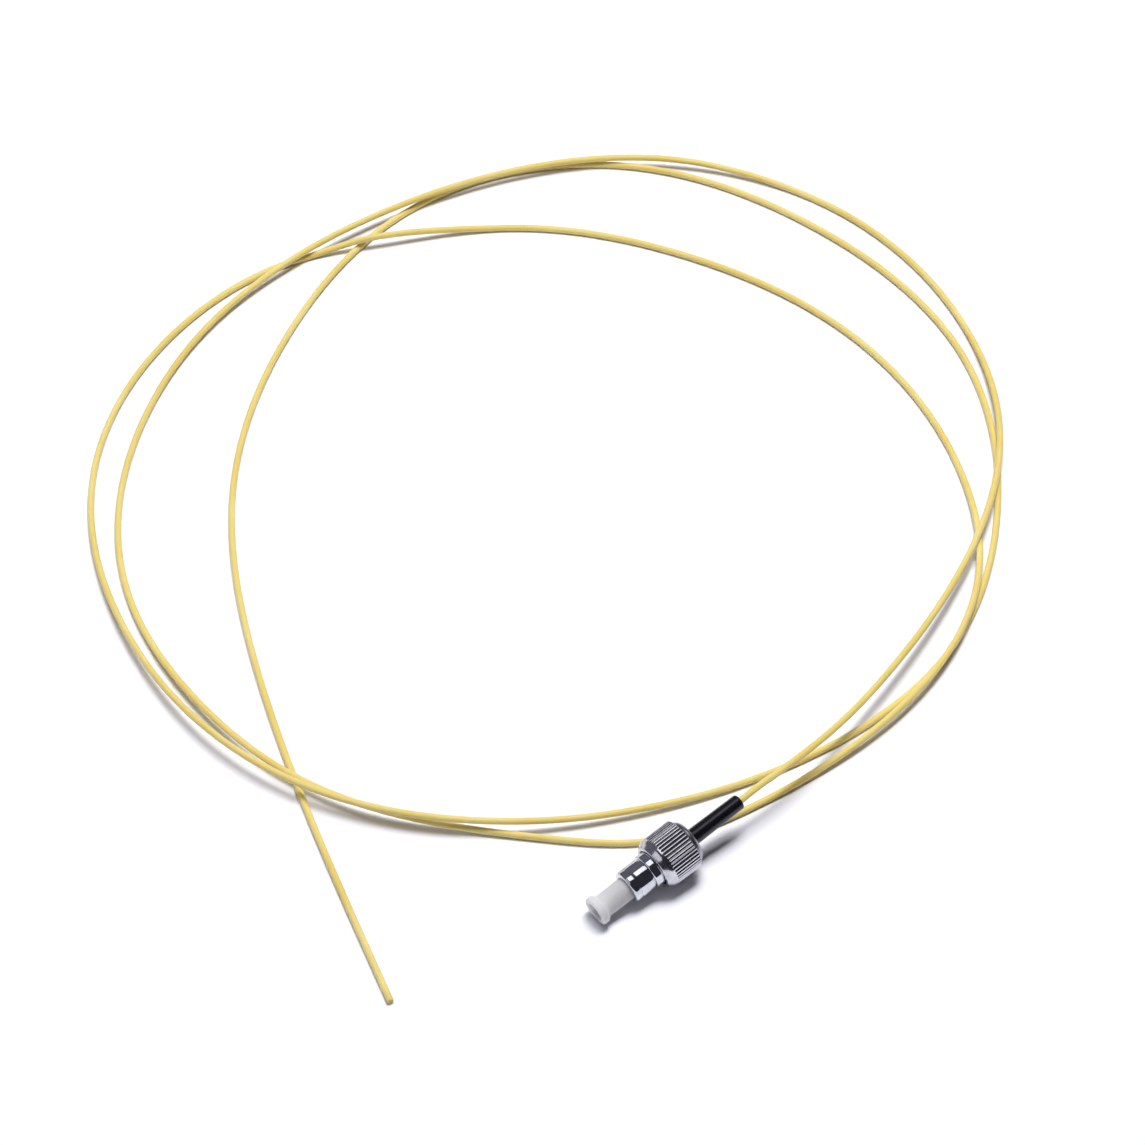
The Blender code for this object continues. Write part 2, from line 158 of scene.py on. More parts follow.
# The fibre's route from the boot to the cut end, in metres
CABLE_ROUTE = [
    (0.0530, 0.0055, 0.0055),
    (0.0895, 0.0195, 0.0036),
    (0.1165, 0.0390, 0.0026),
    (0.1350, 0.0735, 0.0008),
    (0.1340, 0.1140, 0.0007),
    (0.1160, 0.1420, 0.0022),
    (0.0885, 0.1585, 0.0025),
    (0.0535, 0.1655, 0.0028),
    (0.0205, 0.1635, 0.0015),
    (-0.0120, 0.1475, 0.0007),
    (-0.0350, 0.1200, 0.0007),
    (-0.0430, 0.0830, 0.0019),
    (-0.0360, 0.0490, 0.0024),
    (-0.0140, 0.0215, 0.0007),
    (0.0035, 0.0065, 0.0007),
    (0.0230, 0.0015, 0.0007),
    (0.0585, 0.0015, 0.0024),
    (0.0855, 0.0125, 0.0025),
    (0.1070, 0.0405, 0.0007),
    (0.1140, 0.0815, 0.0007),
    (0.1025, 0.1185, 0.0007),
    (0.0795, 0.1470, 0.0007),
    (0.0560, 0.1600, 0.0027),
    (0.0420, 0.1660, 0.0007),
    (0.0085, 0.1650, 0.0007),
    (-0.0245, 0.1445, 0.0007),
    (-0.0445, 0.1025, 0.0024),
    (-0.0445, 0.0665, 0.0040),
    (-0.0280, 0.0360, 0.0037),
    (0.0015, 0.0150, 0.0018),
    (0.0345, 0.0045, 0.0007),
    (0.0705, 0.0055, 0.0007),
    (0.1055, 0.0275, 0.0007),
    (0.1285, 0.0645, 0.0007),
    (0.1280, 0.1105, 0.0007),
    (0.1090, 0.1470, 0.0007),
    (0.0735, 0.1635, 0.0007),
    (0.0300, 0.1525, 0.0007),
    (-0.0065, 0.1235, 0.0007),
    (-0.0290, 0.0850, 0.0007),
    (-0.0450, 0.0420, 0.0007),
    (-0.0555, 0.0085, 0.0007),
]

# Widths and lengths of the surface patterns. Tool rings, pits and grain are too fine to show
# at their real size, so they are drawn as coarse as here
TOOL_RING_WIDTH = MM / 7
TOOL_RING_LENGTH = 20.0 * MM
PIT_WIDTH = MM / 9
FILM_CLOUD_WIDTH = 1.25 * MM
MILKY_CLOUD_WIDTH = 5 * MM / 3
WAX_WIDTH = 0.2 * MM
SKIN_WIDTH = 0.25 * MM
DRAWN_LINE_WIDTH = 0.4 * MM
DRAWN_LINE_LENGTH = 5.0 * MM
COLOUR_DRIFT_LENGTH = 20.0 * MM
GRAIN_WIDTH = MM / 12

# A noise's finer layers, and the range of its values that is spread over a whole colour or gloss
FINE_SHARE = 0.6
FILM_LOW = 0.35
NOISE_LOW = 0.3
NOISE_HIGH = 0.7

# The painted shade in the flutes' valleys starts at this share of their depth. The nut's rear collar is
# duller
SHADE_START = 0.4
SHADE_FULL = 0.9
DULL_START = NUT_KNURL_END + 0.1 * MM
DULL_FULL = NUT_KNURL_END + 0.3 * MM
DULL_ROUGHER = 0.16

# The sockets of a Mix node share their names, so its colour ones are told by their place
MIX_FACTOR = 0
MIX_FIRST = 6
MIX_SECOND = 7
MIX_COLOUR = 2


def linear(hex_colour):
    # sRGB hex to the linear values that shaders take
    channels = [int(hex_colour[i:i + 2], 16) / 255 for i in (0, 2, 4)]
    values = [c / 12.92 if c <= 0.04045 else ((c + 0.055) / 1.055) ** 2.4 for c in channels]
    return (*values, 1.0)


def add_camera():
    data = bpy.data.cameras.new("camera")
    data.lens = CAMERA_LENS
    data.sensor_width = CAMERA_SENSOR
    camera = bpy.data.objects.new("camera", data)
    bpy.context.scene.collection.objects.link(camera)
    back = Vector((
        -math.sin(CAMERA_HEADING) * math.cos(CAMERA_ELEVATION),
        -math.cos(CAMERA_HEADING) * math.cos(CAMERA_ELEVATION),
        math.sin(CAMERA_ELEVATION),
    ))
    camera.location = CAMERA_AIM + back * CAMERA_DISTANCE
    camera.rotation_euler = (-back).to_track_quat("-Z", "Y").to_euler()
    bpy.context.scene.camera = camera


# Materials


def new_material(name):
    material = bpy.data.materials.new(name)
    material.use_nodes = True
    return material, material.node_tree, material.node_tree.nodes["Principled BSDF"]


def set_inputs(tree, node, inputs):
    # Links an input that is given a socket, and sets one that is given a value
    for key, value in inputs.items():
        if isinstance(value, bpy.types.NodeSocket):
            tree.links.new(value, node.inputs[key])
        else:
            node.inputs[key].default_value = value


def add_node(tree, kind, output, inputs, **settings):
    # Adds a node with its settings and inputs, and gives the output that is asked for
    node = tree.nodes.new(kind)
    for setting, value in settings.items():
        setattr(node, setting, value)
    set_inputs(tree, node, inputs)
    return node.outputs[output]


def axis_place(tree):
    # Object coordinates in mm, turned so that X runs along the connector's axis
    place = add_node(tree, "ShaderNodeTexCoord", "Object", {})
    return add_node(tree, "ShaderNodeMapping", "Vector", {
        "Vector": place,
        "Location": -(Matrix.Rotation(PITCH, 3, "Y") @ NOSE) / MM,
        "Rotation": (0.0, PITCH, 0.0),
        "Scale": (1 / MM, 1 / MM, 1 / MM),
    })


def turned_metal(name, clean, dull, smooth, rough, marks, pits):
    # Turned and plated metal: fine rings from the tool, clouds of handling film, tiny pits.
    # The depths of marks and pits are in mm
    material, tree, shader = new_material(name)
    place = axis_place(tree)
    ring_place = add_node(tree, "ShaderNodeMapping", "Vector", {
        "Vector": place,
        "Scale": (MM / TOOL_RING_WIDTH, MM / TOOL_RING_LENGTH, MM / TOOL_RING_LENGTH),
    })
    rings = add_node(tree, "ShaderNodeTexNoise", "Fac", {
        "Vector": ring_place, "Scale": 1.0, "Detail": 4.0, "Roughness": FINE_SHARE})
    film = add_node(tree, "ShaderNodeTexNoise", "Fac", {
        "Vector": place, "Scale": MM / FILM_CLOUD_WIDTH, "Detail": 5.0, "Roughness": FINE_SHARE})
    specks = add_node(tree, "ShaderNodeTexNoise", "Fac", {
        "Vector": place, "Scale": MM / PIT_WIDTH, "Detail": 2.0, "Roughness": FINE_SHARE})
    dulled = add_node(tree, "ShaderNodeMapRange", "Result", {
        "Value": film, "From Min": FILM_LOW, "From Max": NOISE_HIGH, "To Min": 0.0, "To Max": 1.0})
    gloss = add_node(tree, "ShaderNodeMapRange", "Result", {
        "Value": film, "From Min": FILM_LOW, "From Max": NOISE_HIGH, "To Min": smooth, "To Max": rough})
    colour = add_node(tree, "ShaderNodeMix", MIX_COLOUR, {
        MIX_FACTOR: dulled, MIX_FIRST: linear(clean), MIX_SECOND: linear(dull)}, data_type="RGBA")
    turned = add_node(tree, "ShaderNodeBump", "Normal", {
        "Height": rings, "Strength": 1.0, "Distance": marks * MM})
    pitted = add_node(tree, "ShaderNodeBump", "Normal", {
        "Height": specks, "Strength": 1.0, "Distance": pits * MM, "Normal": turned})
    set_inputs(tree, shader, {
        "Base Color": colour,
        "Metallic": 1.0,
        "Roughness": gloss,
        "Normal": pitted,
    })
    return material


def fluted_nickel():
    # Nickel plate on the nut: bright ridges, painted shade that darkens the flute valleys, a duller
    # rear collar
    material = turned_metal("fluted_nickel_plate", clean="D2D2D6", dull="BCBCC2",
                            smooth=0.14, rough=0.2, marks=0.0005, pits=0.0003)
    tree = material.node_tree
    shader = tree.nodes["Principled BSDF"]
    plate = shader.inputs["Base Color"].links[0].from_socket
    gloss = shader.inputs["Roughness"].links[0].from_socket
    place = axis_place(tree)
    along = add_node(tree, "ShaderNodeSeparateXYZ", "X", {"Vector": place})
    across = add_node(tree, "ShaderNodeMapping", "Vector", {
        "Vector": place, "Scale": (0.0, 1.0, 1.0)})
    radius = add_node(tree, "ShaderNodeVectorMath", "Value", {0: across}, operation="LENGTH")
    down = add_node(tree, "ShaderNodeMapRange", "Result", {
        "Value": radius,
        "From Min": (NUT_RADIUS - SHADE_START * FLUTE_DEPTH) / MM,
        "From Max": (NUT_RADIUS - FLUTE_DEPTH) / MM,
        "To Min": 0.0,
        "To Max": SHADE_FULL,
    })
    after = add_node(tree, "ShaderNodeMath", "Value", {
        0: along, 1: NUT_LINE / MM}, operation="GREATER_THAN")
    before = add_node(tree, "ShaderNodeMath", "Value", {
        0: along, 1: NUT_KNURL_END / MM}, operation="LESS_THAN")
    knurl = add_node(tree, "ShaderNodeMath", "Value", {0: after, 1: before}, operation="MULTIPLY")
    # Painted shade: the plate darkens towards 50525A deeper in the flute valleys
    painted_valley_shade = add_node(tree, "ShaderNodeMath", "Value", {0: knurl, 1: down}, operation="MULTIPLY")
    fluted = add_node(tree, "ShaderNodeMix", MIX_COLOUR, {
        MIX_FACTOR: painted_valley_shade, MIX_FIRST: plate, MIX_SECOND: linear("50525A")}, data_type="RGBA")
    collar = add_node(tree, "ShaderNodeMapRange", "Result", {
        "Value": along,
        "From Min": DULL_START / MM,
        "From Max": DULL_FULL / MM,
        "To Min": 0.0,
        "To Max": 1.0,
    })
    colour = add_node(tree, "ShaderNodeMix", MIX_COLOUR, {
        MIX_FACTOR: collar, MIX_FIRST: fluted, MIX_SECOND: linear("A2A2A8")}, data_type="RGBA")
    duller = add_node(tree, "ShaderNodeMath", "Value", {
        0: collar, 1: DULL_ROUGHER, 2: gloss}, operation="MULTIPLY_ADD")
    set_inputs(tree, shader, {"Base Color": colour, "Roughness": duller})
    return material


def milky_polyethylene():
    # Soft moulded polyethylene: light sinks in and comes out cloudy, with a waxy shine
    material, tree, shader = new_material("milky_polyethylene")
    place = axis_place(tree)
    clouds = add_node(tree, "ShaderNodeTexNoise", "Fac", {
        "Vector": place, "Scale": MM / MILKY_CLOUD_WIDTH, "Detail": 4.0, "Roughness": FINE_SHARE})
    waxy = add_node(tree, "ShaderNodeTexNoise", "Fac", {
        "Vector": place, "Scale": MM / WAX_WIDTH, "Detail": 3.0, "Roughness": FINE_SHARE})
    cloudy = add_node(tree, "ShaderNodeMapRange", "Result", {
        "Value": clouds, "From Min": NOISE_LOW, "From Max": NOISE_HIGH, "To Min": 0.0, "To Max": 1.0})
    gloss = add_node(tree, "ShaderNodeMapRange", "Result", {
        "Value": waxy, "From Min": NOISE_LOW, "From Max": NOISE_HIGH, "To Min": 0.38, "To Max": 0.5})
    colour = add_node(tree, "ShaderNodeMix", MIX_COLOUR, {
        MIX_FACTOR: cloudy,
        MIX_FIRST: linear("D0D0CF"),
        MIX_SECOND: linear("C6C6C6"),
    }, data_type="RGBA")
    moulded = add_node(tree, "ShaderNodeBump", "Normal", {
        "Height": waxy, "Strength": 1.0, "Distance": 0.002 * MM})
    set_inputs(tree, shader, {
        "Base Color": colour,
        "Roughness": gloss,
        "Normal": moulded,
        "IOR": 1.51,
        "Subsurface Weight": 1.0,
        "Subsurface Radius": (1.0, 1.0, 1.0),
        "Subsurface Scale": 3.5 * MM,
    })
    return material


def black_pvc():
    # Extruded black PVC: nearly black, a faint skin texture in a soft shine
    material, tree, shader = new_material("black_pvc")
    place = axis_place(tree)
    skin = add_node(tree, "ShaderNodeTexNoise", "Fac", {
        "Vector": place, "Scale": MM / SKIN_WIDTH, "Detail": 3.0, "Roughness": FINE_SHARE})
    drawn_place = add_node(tree, "ShaderNodeMapping", "Vector", {
        "Vector": place,
        "Scale": (MM / DRAWN_LINE_LENGTH, MM / DRAWN_LINE_WIDTH, MM / DRAWN_LINE_WIDTH),
    })
    drawn = add_node(tree, "ShaderNodeTexNoise", "Fac", {
        "Vector": drawn_place, "Scale": 1.0, "Detail": 3.0, "Roughness": FINE_SHARE})
    lines = add_node(tree, "ShaderNodeMapRange", "Result", {
        "Value": drawn, "From Min": NOISE_LOW, "From Max": NOISE_HIGH, "To Min": 0.0, "To Max": 1.0})
    gloss = add_node(tree, "ShaderNodeMapRange", "Result", {
        "Value": skin, "From Min": NOISE_LOW, "From Max": NOISE_HIGH, "To Min": 0.22, "To Max": 0.3})
    colour = add_node(tree, "ShaderNodeMix", MIX_COLOUR, {
        MIX_FACTOR: lines,
        MIX_FIRST: linear("08080F"),
        MIX_SECOND: linear("0F0F18"),
    }, data_type="RGBA")
    extruded = add_node(tree, "ShaderNodeBump", "Normal", {
        "Height": skin, "Strength": 1.0, "Distance": 0.003 * MM})
    set_inputs(tree, shader, {
        "Base Color": colour,
        "Roughness": gloss,
        "Normal": extruded,
        "IOR": 1.5,
    })
    return material


def yellow_pvc():
    # Satin yellow PVC buffer: slight colour drift along it and a fine extruded skin
    material, tree, shader = new_material("yellow_pvc_buffer")
    metres = add_node(tree, "ShaderNodeTexCoord", "Object", {})
    place = add_node(tree, "ShaderNodeMapping", "Vector", {
        "Vector": metres, "Scale": (1 / MM, 1 / MM, 1 / MM)})
    drift = add_node(tree, "ShaderNodeTexNoise", "Fac", {
        "Vector": place,
        "Scale": MM / COLOUR_DRIFT_LENGTH,
        "Detail": 3.0,
        "Roughness": FINE_SHARE,
    })
    skin = add_node(tree, "ShaderNodeTexNoise", "Fac", {
        "Vector": place, "Scale": MM / SKIN_WIDTH, "Detail": 3.0, "Roughness": FINE_SHARE})
    drifted = add_node(tree, "ShaderNodeMapRange", "Result", {
        "Value": drift, "From Min": NOISE_LOW, "From Max": NOISE_HIGH, "To Min": 0.0, "To Max": 1.0})
    gloss = add_node(tree, "ShaderNodeMapRange", "Result", {
        "Value": skin, "From Min": NOISE_LOW, "From Max": NOISE_HIGH, "To Min": 0.34, "To Max": 0.46})
    colour = add_node(tree, "ShaderNodeMix", MIX_COLOUR, {
        MIX_FACTOR: drifted,
        MIX_FIRST: linear("E6D68A"),
        MIX_SECOND: linear("DEC76C"),
    }, data_type="RGBA")
    extruded = add_node(tree, "ShaderNodeBump", "Normal", {
        "Height": skin, "Strength": 1.0, "Distance": 0.002 * MM})
    set_inputs(tree, shader, {
        "Base Color": colour,
        "Roughness": gloss,
        "Normal": extruded,
        "IOR": 1.53,
        "Subsurface Weight": 0.5,
        "Subsurface Radius": (1.0, 0.55, 0.15),
        "Subsurface Scale": 0.4 * MM,
    })
    return material


def white_zirconia():
    # Ground and polished ceramic: even white with hardly any texture
    material, tree, shader = new_material("white_zirconia")
    grain = add_node(tree, "ShaderNodeTexNoise", "Fac", {
        "Vector": axis_place(tree),
        "Scale": MM / GRAIN_WIDTH,
        "Detail": 2.0,
        "Roughness": FINE_SHARE,
    })
    gloss = add_node(tree, "ShaderNodeMapRange", "Result", {
        "Value": grain, "From Min": NOISE_LOW, "From Max": NOISE_HIGH, "To Min": 0.08, "To Max": 0.14})
    colour = add_node(tree, "ShaderNodeMix", MIX_COLOUR, {
        MIX_FACTOR: grain,
        MIX_FIRST: linear("F0F0EC"),
        MIX_SECOND: linear("E8E8E2"),
    }, data_type="RGBA")
    set_inputs(tree, shader, {"Base Color": colour, "Roughness": gloss, "IOR": 2.1})
    return material


def white_table():
    # Matt white table top under the loops
    material, tree, shader = new_material("white_table")
    set_inputs(tree, shader, {"Base Color": linear("F3F3F7"), "Roughness": 0.9})
    return material


# Turned pieces of the connector


def spin_profile(points, steps, closed=False):
    # Spins a line of (radius, along) points about Z
    bm = bmesh.new()
    chain = [bm.verts.new((radius, 0.0, along)) for radius, along in points]
    line = [bm.edges.new(pair) for pair in zip(chain, chain[1:])]
    if closed:
        line.append(bm.edges.new((chain[-1], chain[0])))
    bmesh.ops.spin(bm, geom=chain + line, axis=(0.0, 0.0, 1.0), angle=math.tau, steps=steps,
                   use_merge=True)
    bmesh.ops.remove_doubles(bm, verts=bm.verts, dist=MERGE_DISTANCE)
    bmesh.ops.recalc_face_normals(bm, faces=bm.faces)
    return bm


def round_rings(bm, corners, width, segments):
    # Rounds the ring edges that run through the given (radius, along) corners
    rings = []
    for edge in bm.edges:
        places = [(math.hypot(vert.co.x, vert.co.y), vert.co.z) for vert in edge.verts]
        for radius, along in corners:
            offsets = [math.hypot(place[0] - radius, place[1] - along) for place in places]
            if max(offsets) < 2 * MERGE_DISTANCE:
                rings.append(edge)
    bmesh.ops.bevel(bm, geom=rings, offset=width, offset_type="OFFSET", segments=segments,
                    profile=0.5, affect="EDGES", clamp_overlap=True, material=-1)


def finish_piece(bm, name, material, body, node):
    # Puts a turned piece on the connector's axis, shades it smooth, attaches it to its body and hides
    # the CAD node it stands in for
    bm.transform(AXIS)
    mesh = bpy.data.meshes.new(name)
    bm.to_mesh(mesh)
    bm.free()
    mesh.materials.append(material)
    mesh.shade_smooth()
    mesh.set_sharp_from_angle(angle=SHARP_ANGLE)
    piece = bpy.data.objects.new(name, mesh)
    bpy.context.scene.collection.objects.link(piece)
    weighted = piece.modifiers.new("even_shading", "WEIGHTED_NORMAL")
    weighted.keep_sharp = True
    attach(piece, body)
    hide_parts(node)


def add_cap(material):
    tube_end = (CAP_TUBE_RADIUS, CAP_END)
    neck = (CAP_TUBE_RADIUS, CAP_NECK_END)
    flange_back = (CAP_FLANGE_RADIUS, CAP_FLANGE_END)
    flange_front = (CAP_FLANGE_RADIUS, 0.0)
    lip = (CAP_LIP_RADIUS, 0.0)
    recess_corner = (CAP_RECESS_RADIUS, CAP_RECESS_END)
    bm = spin_profile([
        (0.0, CAP_BORE_START),
        (CAP_BORE_RADIUS, CAP_BORE_START),
        (CAP_BORE_RADIUS, CAP_END),
        tube_end,
        neck,
        flange_back,
        flange_front,
        lip,
        recess_corner,
        (0.0, CAP_RECESS_END),
    ], ROUND_STEPS)
    round_rings(bm, [flange_front], CAP_FLANGE_ROUND, segments=6)
    round_rings(bm, [flange_back], CAP_FLANGE_BACK_ROUND, segments=6)
    round_rings(bm, [neck], CAP_NECK_ROUND, segments=6)
    round_rings(bm, [lip], CAP_LIP_ROUND, segments=4)
    round_rings(bm, [tube_end, recess_corner], CAP_EDGE_ROUND, segments=3)
    finish_piece(bm, "dust_cap_moulding", material, "cap", "dust_cap")


def add_ferrule(material):
    # The rod's polished tip is slightly domed inside its chamfer
    chamfer_back = (FERRULE_RADIUS, FERRULE_START + FERRULE_CHAMFER)
    chamfer_front = (FERRULE_RADIUS - FERRULE_CHAMFER, FERRULE_START + FERRULE_DOME)
    bm = spin_profile([
        (0.0, FERRULE_END),
        (FERRULE_RADIUS, FERRULE_END),
        chamfer_back,
        chamfer_front,
        (FERRULE_RADIUS / 2, FERRULE_START + FERRULE_DOME / 4),
        (0.0, FERRULE_START),
    ], ROUND_STEPS)
    round_rings(bm, [chamfer_back, chamfer_front], FERRULE_ROUND, segments=3)
    finish_piece(bm, "ceramic_ferrule", material, "connector", "ferrule")


def add_barrel(material):
    line_radius = BARREL_RADIUS - RING_LINE_DEPTH
    groove_radius = BARREL_RADIUS - GROOVE_DEPTH
    collar_back = (COLLAR_RADIUS, COLLAR_END)
    collar_front = (COLLAR_RADIUS, COLLAR_START)
    groove_front = (BARREL_RADIUS, BARREL_END)
    line_back = (BARREL_RADIUS, RING_LINE_END)
    line_front = (BARREL_RADIUS, RING_LINE_START)
    front_edge = (BARREL_RADIUS, BARREL_START)
    mouth = (BARREL_MOUTH_RADIUS, BARREL_START)
    bm = spin_profile([
        collar_back,
        collar_front,
        (groove_radius, COLLAR_START),
        (groove_radius, BARREL_END),
        groove_front,
        line_back,
        (line_radius, RING_LINE_END),
        (line_radius, RING_LINE_START),
        line_front,
        front_edge,
        mouth,
        (BARREL_MOUTH_RADIUS, WEB_START),
        (FERRULE_RADIUS + FERRULE_GAP, WEB_START),
        (FERRULE_RADIUS + FERRULE_GAP, WEB_END),
        (CHAMBER_RADIUS, WEB_END),
        (CHAMBER_RADIUS, COLLAR_END),
    ], ROUND_STEPS, closed=True)
    round_rings(bm, [collar_back, collar_front], COLLAR_ROUND, segments=5)
    round_rings(bm, [front_edge], BARREL_CHAMFER, segments=4)
    round_rings(bm, [groove_front, mouth], BARREL_EDGE_ROUND, segments=3)
    round_rings(bm, [line_back, line_front], RING_LINE_ROUND, segments=2)
    finish_piece(bm, "barrel_shell", material, "connector", "plug_frame")


def press_flutes(bm):
    # Rounded ridges with narrow valleys between them, that run out to nothing at both ends
    for vert in bm.verts:
        x, y, along = vert.co
        radius = math.hypot(x, y)
        to_end = min(along - NUT_LINE, NUT_KNURL_END + FLUTE_RUN_OUT - along)
        if radius < NUT_RADIUS - FLUTE_REACH or to_end <= 0:
            continue
        end = to_end / FLUTE_RUN_OUT
        depth = FLUTE_DEPTH * math.sin(math.pi / 2 * min(1.0, end))
        turn = math.atan2(y, x) * FLUTE_COUNT / math.tau
        off_ridge = 2 * abs(turn - round(turn))
        drawn = (radius - depth * off_ridge**2) / radius
        vert.co = (x * drawn, y * drawn, along)


def add_nut(material):
    run_out = [FLUTE_RUN_OUT * i / (FLUTE_RUN_OUT_RINGS - 1) for i in range(FLUTE_RUN_OUT_RINGS)]
    tail = (NUT_TAIL_RADIUS, NUT_END)
    collar_back = (NUT_COLLAR_RADIUS, NUT_COLLAR_END)
    collar_front = (NUT_COLLAR_RADIUS, NUT_COLLAR_START)
    knurl_back = (NUT_RADIUS, NUT_KNURL_END)
    edge = (NUT_RADIUS, NUT_EDGE)
    face = (NUT_FACE_RADIUS, NUT_START)
    bore_end = (NUT_BORE_RADIUS, NUT_END)
    bm = spin_profile([
        tail,
        collar_back,
        collar_front,
        (NUT_NECK_RADIUS, NUT_NECK_END),
        *[(NUT_RADIUS, NUT_KNURL_END - step) for step in run_out],
        *[(NUT_RADIUS, NUT_LINE + step) for step in reversed(run_out)],
        edge,
        face,
        (THREAD_RADIUS + THREAD_CHAMFER, NUT_START),
        (THREAD_RADIUS, NUT_START + THREAD_CHAMFER),
        (THREAD_RADIUS, NUT_SHOULDER_START),
        (NUT_BORE_RADIUS, NUT_SHOULDER_START),
        bore_end,
    ], FLUTE_COUNT * FLUTE_STEPS, closed=True)
    round_rings(bm, [edge], NUT_EDGE_ROUND, segments=6)
    round_rings(bm, [knurl_back], NUT_KNURL_ROUND, segments=4)
    round_rings(bm, [tail, face], NUT_FACE_ROUND, segments=4)
    round_rings(bm, [collar_back, collar_front, bore_end], NUT_COLLAR_ROUND, segments=3)
    press_flutes(bm)
    bmesh.ops.recalc_face_normals(bm, faces=bm.faces)
    finish_piece(bm, "fluted_nut", material, "nut", "coupling_nut")


def add_boot(material):
    bore_end = (BOOT_BORE_RADIUS, BOOT_END)
    back_edge = (BOOT_END_RADIUS, BOOT_END)
    front_edge = (BOOT_FRONT_RADIUS, BOOT_START)
    bm = spin_profile([
        bore_end,
        back_edge,
        front_edge,
        (BOOT_SOCKET_RADIUS, BOOT_START),
        (BOOT_SOCKET_RADIUS, BOOT_SOCKET_END),
        (BOOT_BORE_RADIUS, BOOT_SOCKET_END),
    ], ROUND_STEPS, closed=True)
    round_rings(bm, [back_edge], BOOT_ROUND, segments=6)
    round_rings(bm, [bore_end, front_edge], BOOT_EDGE_ROUND, segments=3)
    finish_piece(bm, "black_boot", material, "connector", "boot")


# The fibre


def spline_slopes(along, values):
    # Slopes of the natural cubic spline through the values
    count = len(along)
    step = np.diff(along)
    rise = np.diff(values) / step
    matrix = np.zeros((count, count))
    target = np.zeros(count)
    matrix[0, 0] = matrix[-1, -1] = 2.0
    matrix[0, 1] = matrix[-1, -2] = 1.0
    target[0] = 3 * rise[0]
    target[-1] = 3 * rise[-1]
    for i in range(1, count - 1):
        matrix[i, i - 1] = step[i]
        matrix[i, i] = 2 * (step[i - 1] + step[i])
        matrix[i, i + 1] = step[i - 1]
        target[i] = 3 * (step[i] * rise[i - 1] + step[i - 1] * rise[i])
    return np.linalg.solve(matrix, target)


def level_slopes(along, values):
    # Slopes that never carry the curve past a value, so that it stays off the floor
    rise = np.diff(values) / np.diff(along)
    slopes = np.zeros(len(values))
    slopes[0] = rise[0]
    slopes[-1] = rise[-1]
    for i in range(1, len(values) - 1):
        if rise[i - 1] * rise[i] > 0:
            slopes[i] = 2 * rise[i - 1] * rise[i] / (rise[i - 1] + rise[i])
    return slopes


def smooth_route(points, per_span):
    # Points on one smooth curve through the route, the same number in each span
    points = np.array(points)
    spans = np.linalg.norm(np.diff(points, axis=0), axis=1)
    along = np.concatenate(([0.0], np.cumsum(spans)))
    slopes = np.stack([
        spline_slopes(along, points[:, 0]),
        spline_slopes(along, points[:, 1]),
        level_slopes(along, points[:, 2]),
    ], axis=1)
    line = []
    for i, span in enumerate(spans):
        for k in range(per_span):
            u = k / per_span
            start = (2 * u**3 - 3 * u**2 + 1) * points[i]
            leave = (u**3 - 2 * u**2 + u) * span * slopes[i]
            end = (3 * u**2 - 2 * u**3) * points[i + 1]
            arrive = (u**3 - u**2) * span * slopes[i + 1]
            line.append(start + leave + end + arrive)
    line.append(points[-1])
    return line


def add_cable(material):
    exit_point = AXIS @ Vector((0.0, 0.0, CABLE_START))
    route = [exit_point, AXIS @ Vector((0.0, 0.0, BOOT_END + CABLE_STRAIGHT))]
    route += [Vector(point) for point in CABLE_ROUTE]
    line = smooth_route(route, CABLE_STEPS_PER_SPAN)
    back = (line[-2] - line[-1]) / np.linalg.norm(line[-2] - line[-1])
    line.insert(-1, line[-1] + back * CABLE_END_CHAMFER)
    curve = bpy.data.curves.new("fibre_cable", "CURVE")
    curve.dimensions = "3D"
    curve.bevel_depth = CABLE_RADIUS
    curve.bevel_resolution = CABLE_SIDE_STEPS
    curve.use_fill_caps = True
    spline = curve.splines.new("POLY")
    spline.points.add(len(line) - 1)
    for point, place in zip(spline.points, line):
        point.co = (*place, 1.0)
    spline.points[-1].radius = 1 - CABLE_END_CHAMFER / CABLE_RADIUS
    spline.use_smooth = True
    curve.materials.append(material)
    cable = bpy.data.objects.new("fibre_cable", curve)
    bpy.context.scene.collection.objects.link(cable)
    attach(cable, "connector")
    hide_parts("cable")


# Hidden pieces


def finish_hidden_pieces():
    # The hidden pieces keep their CAD shape and only take a finish
    finishes = {
        "ferrule_holder": turned_metal("turned_brass", clean="C9A65E", dull="B08C48",
                                       smooth=0.2, rough=0.34, marks=0.002, pits=0.001),
        "spring": turned_metal("drawn_spring_steel", clean="A6A6A8", dull="8E8E92",
                               smooth=0.2, rough=0.32, marks=0.001, pits=0.001),
        "rear_body": turned_metal("satin_nickel_plate", clean="C6C7CB", dull="AEB0B6",
                                  smooth=0.14, rough=0.26, marks=0.002, pits=0.001),
        "retaining_ring": turned_metal("bright_ring_steel", clean="B6B7BA", dull="9A9BA0",
                                       smooth=0.16, rough=0.28, marks=0.002, pits=0.001),
    }
    for node, material in finishes.items():
        piece = frame["nodes"][node]
        piece.data.materials.clear()
        piece.data.materials.append(material)


# Table, light and room


def add_floor():
    bpy.ops.mesh.primitive_plane_add(size=6.0)
    floor = bpy.context.object
    floor.name = "floor"
    floor.data.materials.append(white_table())


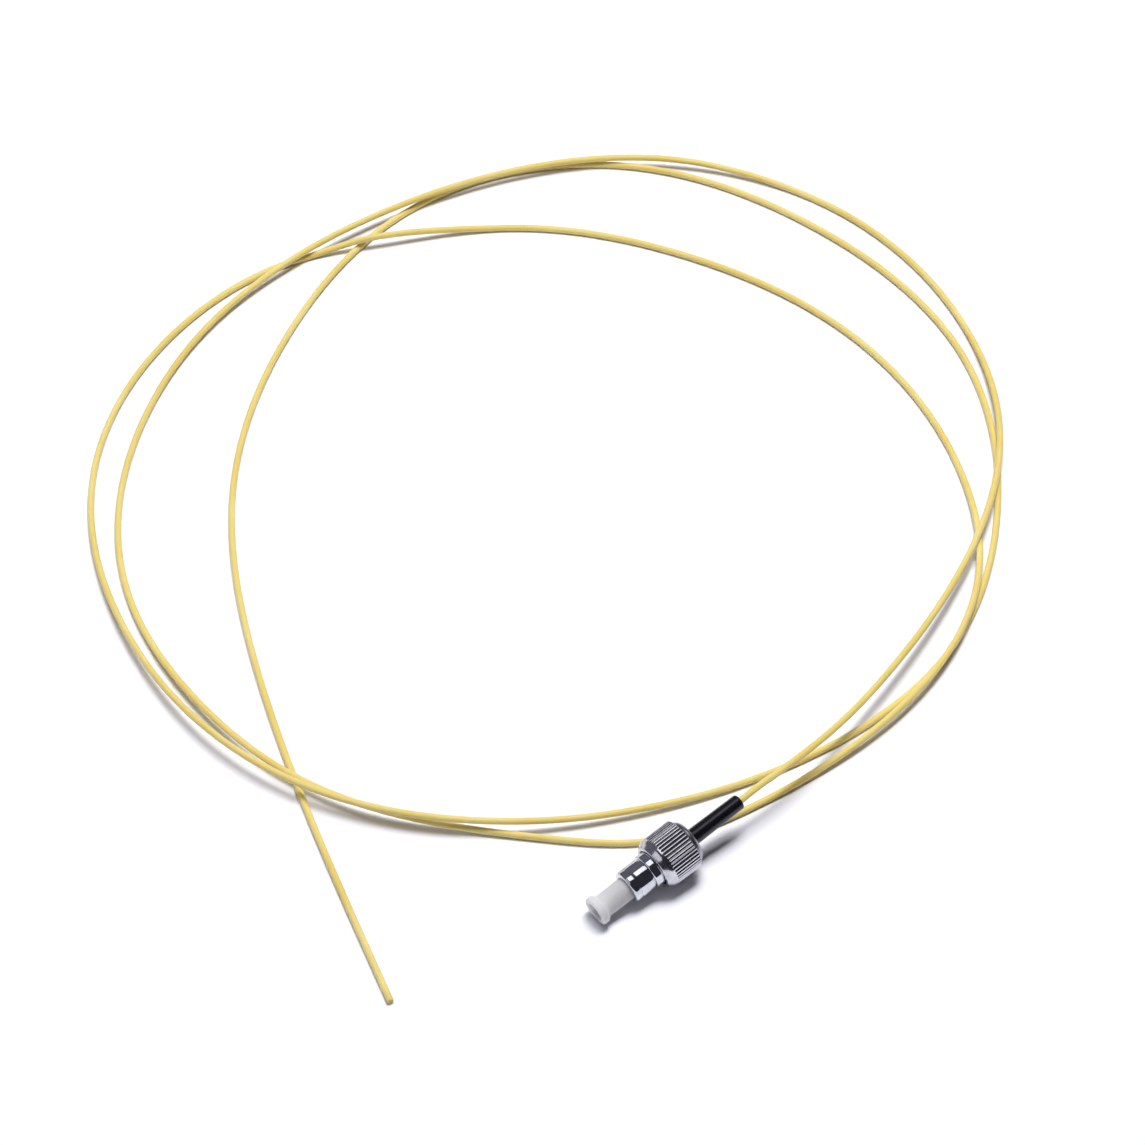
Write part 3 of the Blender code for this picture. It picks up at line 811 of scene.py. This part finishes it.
def add_area(name, place, tilt, size, power, colour):
    # A rectangular studio light that faces down, or is tilted about Y by some degrees.
    # Its place and size are in metres, its power in watts
    data = bpy.data.lights.new(name, "AREA")
    data.shape = "RECTANGLE"
    data.size, data.size_y = size
    data.energy = power
    data.color = linear(colour)[:3]
    light = bpy.data.objects.new(name, data)
    bpy.context.scene.collection.objects.link(light)
    light.location = place
    light.rotation_euler = (0.0, math.radians(tilt), 0.0)
    return light


def add_lights():
    softbox = add_area("softbox", place=(0.26, 0.205, 1.2), tilt=0.0, size=(0.9, 0.47),
                       power=14.0, colour="F6F7FF")
    key = add_area("key", place=(0.2, 0.09, 1.15), tilt=0.0, size=(0.34, 0.23),
                   power=5.0, colour="FFFDF8")
    add_area("side_card", place=(-0.85, 0.05, 0.75), tilt=-49.0, size=(0.6, 0.8),
             power=1.4, colour="F8F8FF")
    # The metal mirrors a dim card in place of the two strong lights, so its highlights keep
    # their shape. The card is nearer than both, because a mirrored ray stops at the first
    softbox.visible_glossy = False
    key.visible_glossy = False
    band_card = add_area("band_card", place=(0.217, 0.125, 1.0), tilt=0.0, size=(0.75, 0.52),
                         power=1.75, colour="FFFFFF")
    band_card.visible_diffuse = False


def add_room():
    # Studio room: a dim pale wall behind the loops, a dark one behind the camera
    world = bpy.data.worlds.new("studio_room")
    world.use_nodes = True
    tree = world.node_tree
    facing = add_node(tree, "ShaderNodeTexCoord", "Generated", {})
    back = add_node(tree, "ShaderNodeSeparateXYZ", "Y", {"Vector": facing})
    far = add_node(tree, "ShaderNodeMapRange", "Result", {
        "Value": back, "From Min": -0.2, "From Max": 0.6, "To Min": 0.0, "To Max": 1.0})
    colour = add_node(tree, "ShaderNodeMix", MIX_COLOUR, {
        MIX_FACTOR: far,
        MIX_FIRST: linear("32313A"),
        MIX_SECOND: linear("6D6C77"),
    }, data_type="RGBA")
    set_inputs(tree, tree.nodes["Background"], {"Color": colour})
    bpy.context.scene.world = world


add_camera()
add_floor()
add_cap(milky_polyethylene())
add_ferrule(white_zirconia())
add_barrel(turned_metal("bright_nickel_plate", clean="D8DADF", dull="C4C6CD",
                        smooth=0.05, rough=0.1, marks=0.0003, pits=0.0001))
add_nut(fluted_nickel())
add_boot(black_pvc())
add_cable(yellow_pvc())
finish_hidden_pieces()

bpy.context.scene.view_settings.view_transform = "Standard"
add_room()
add_lights()
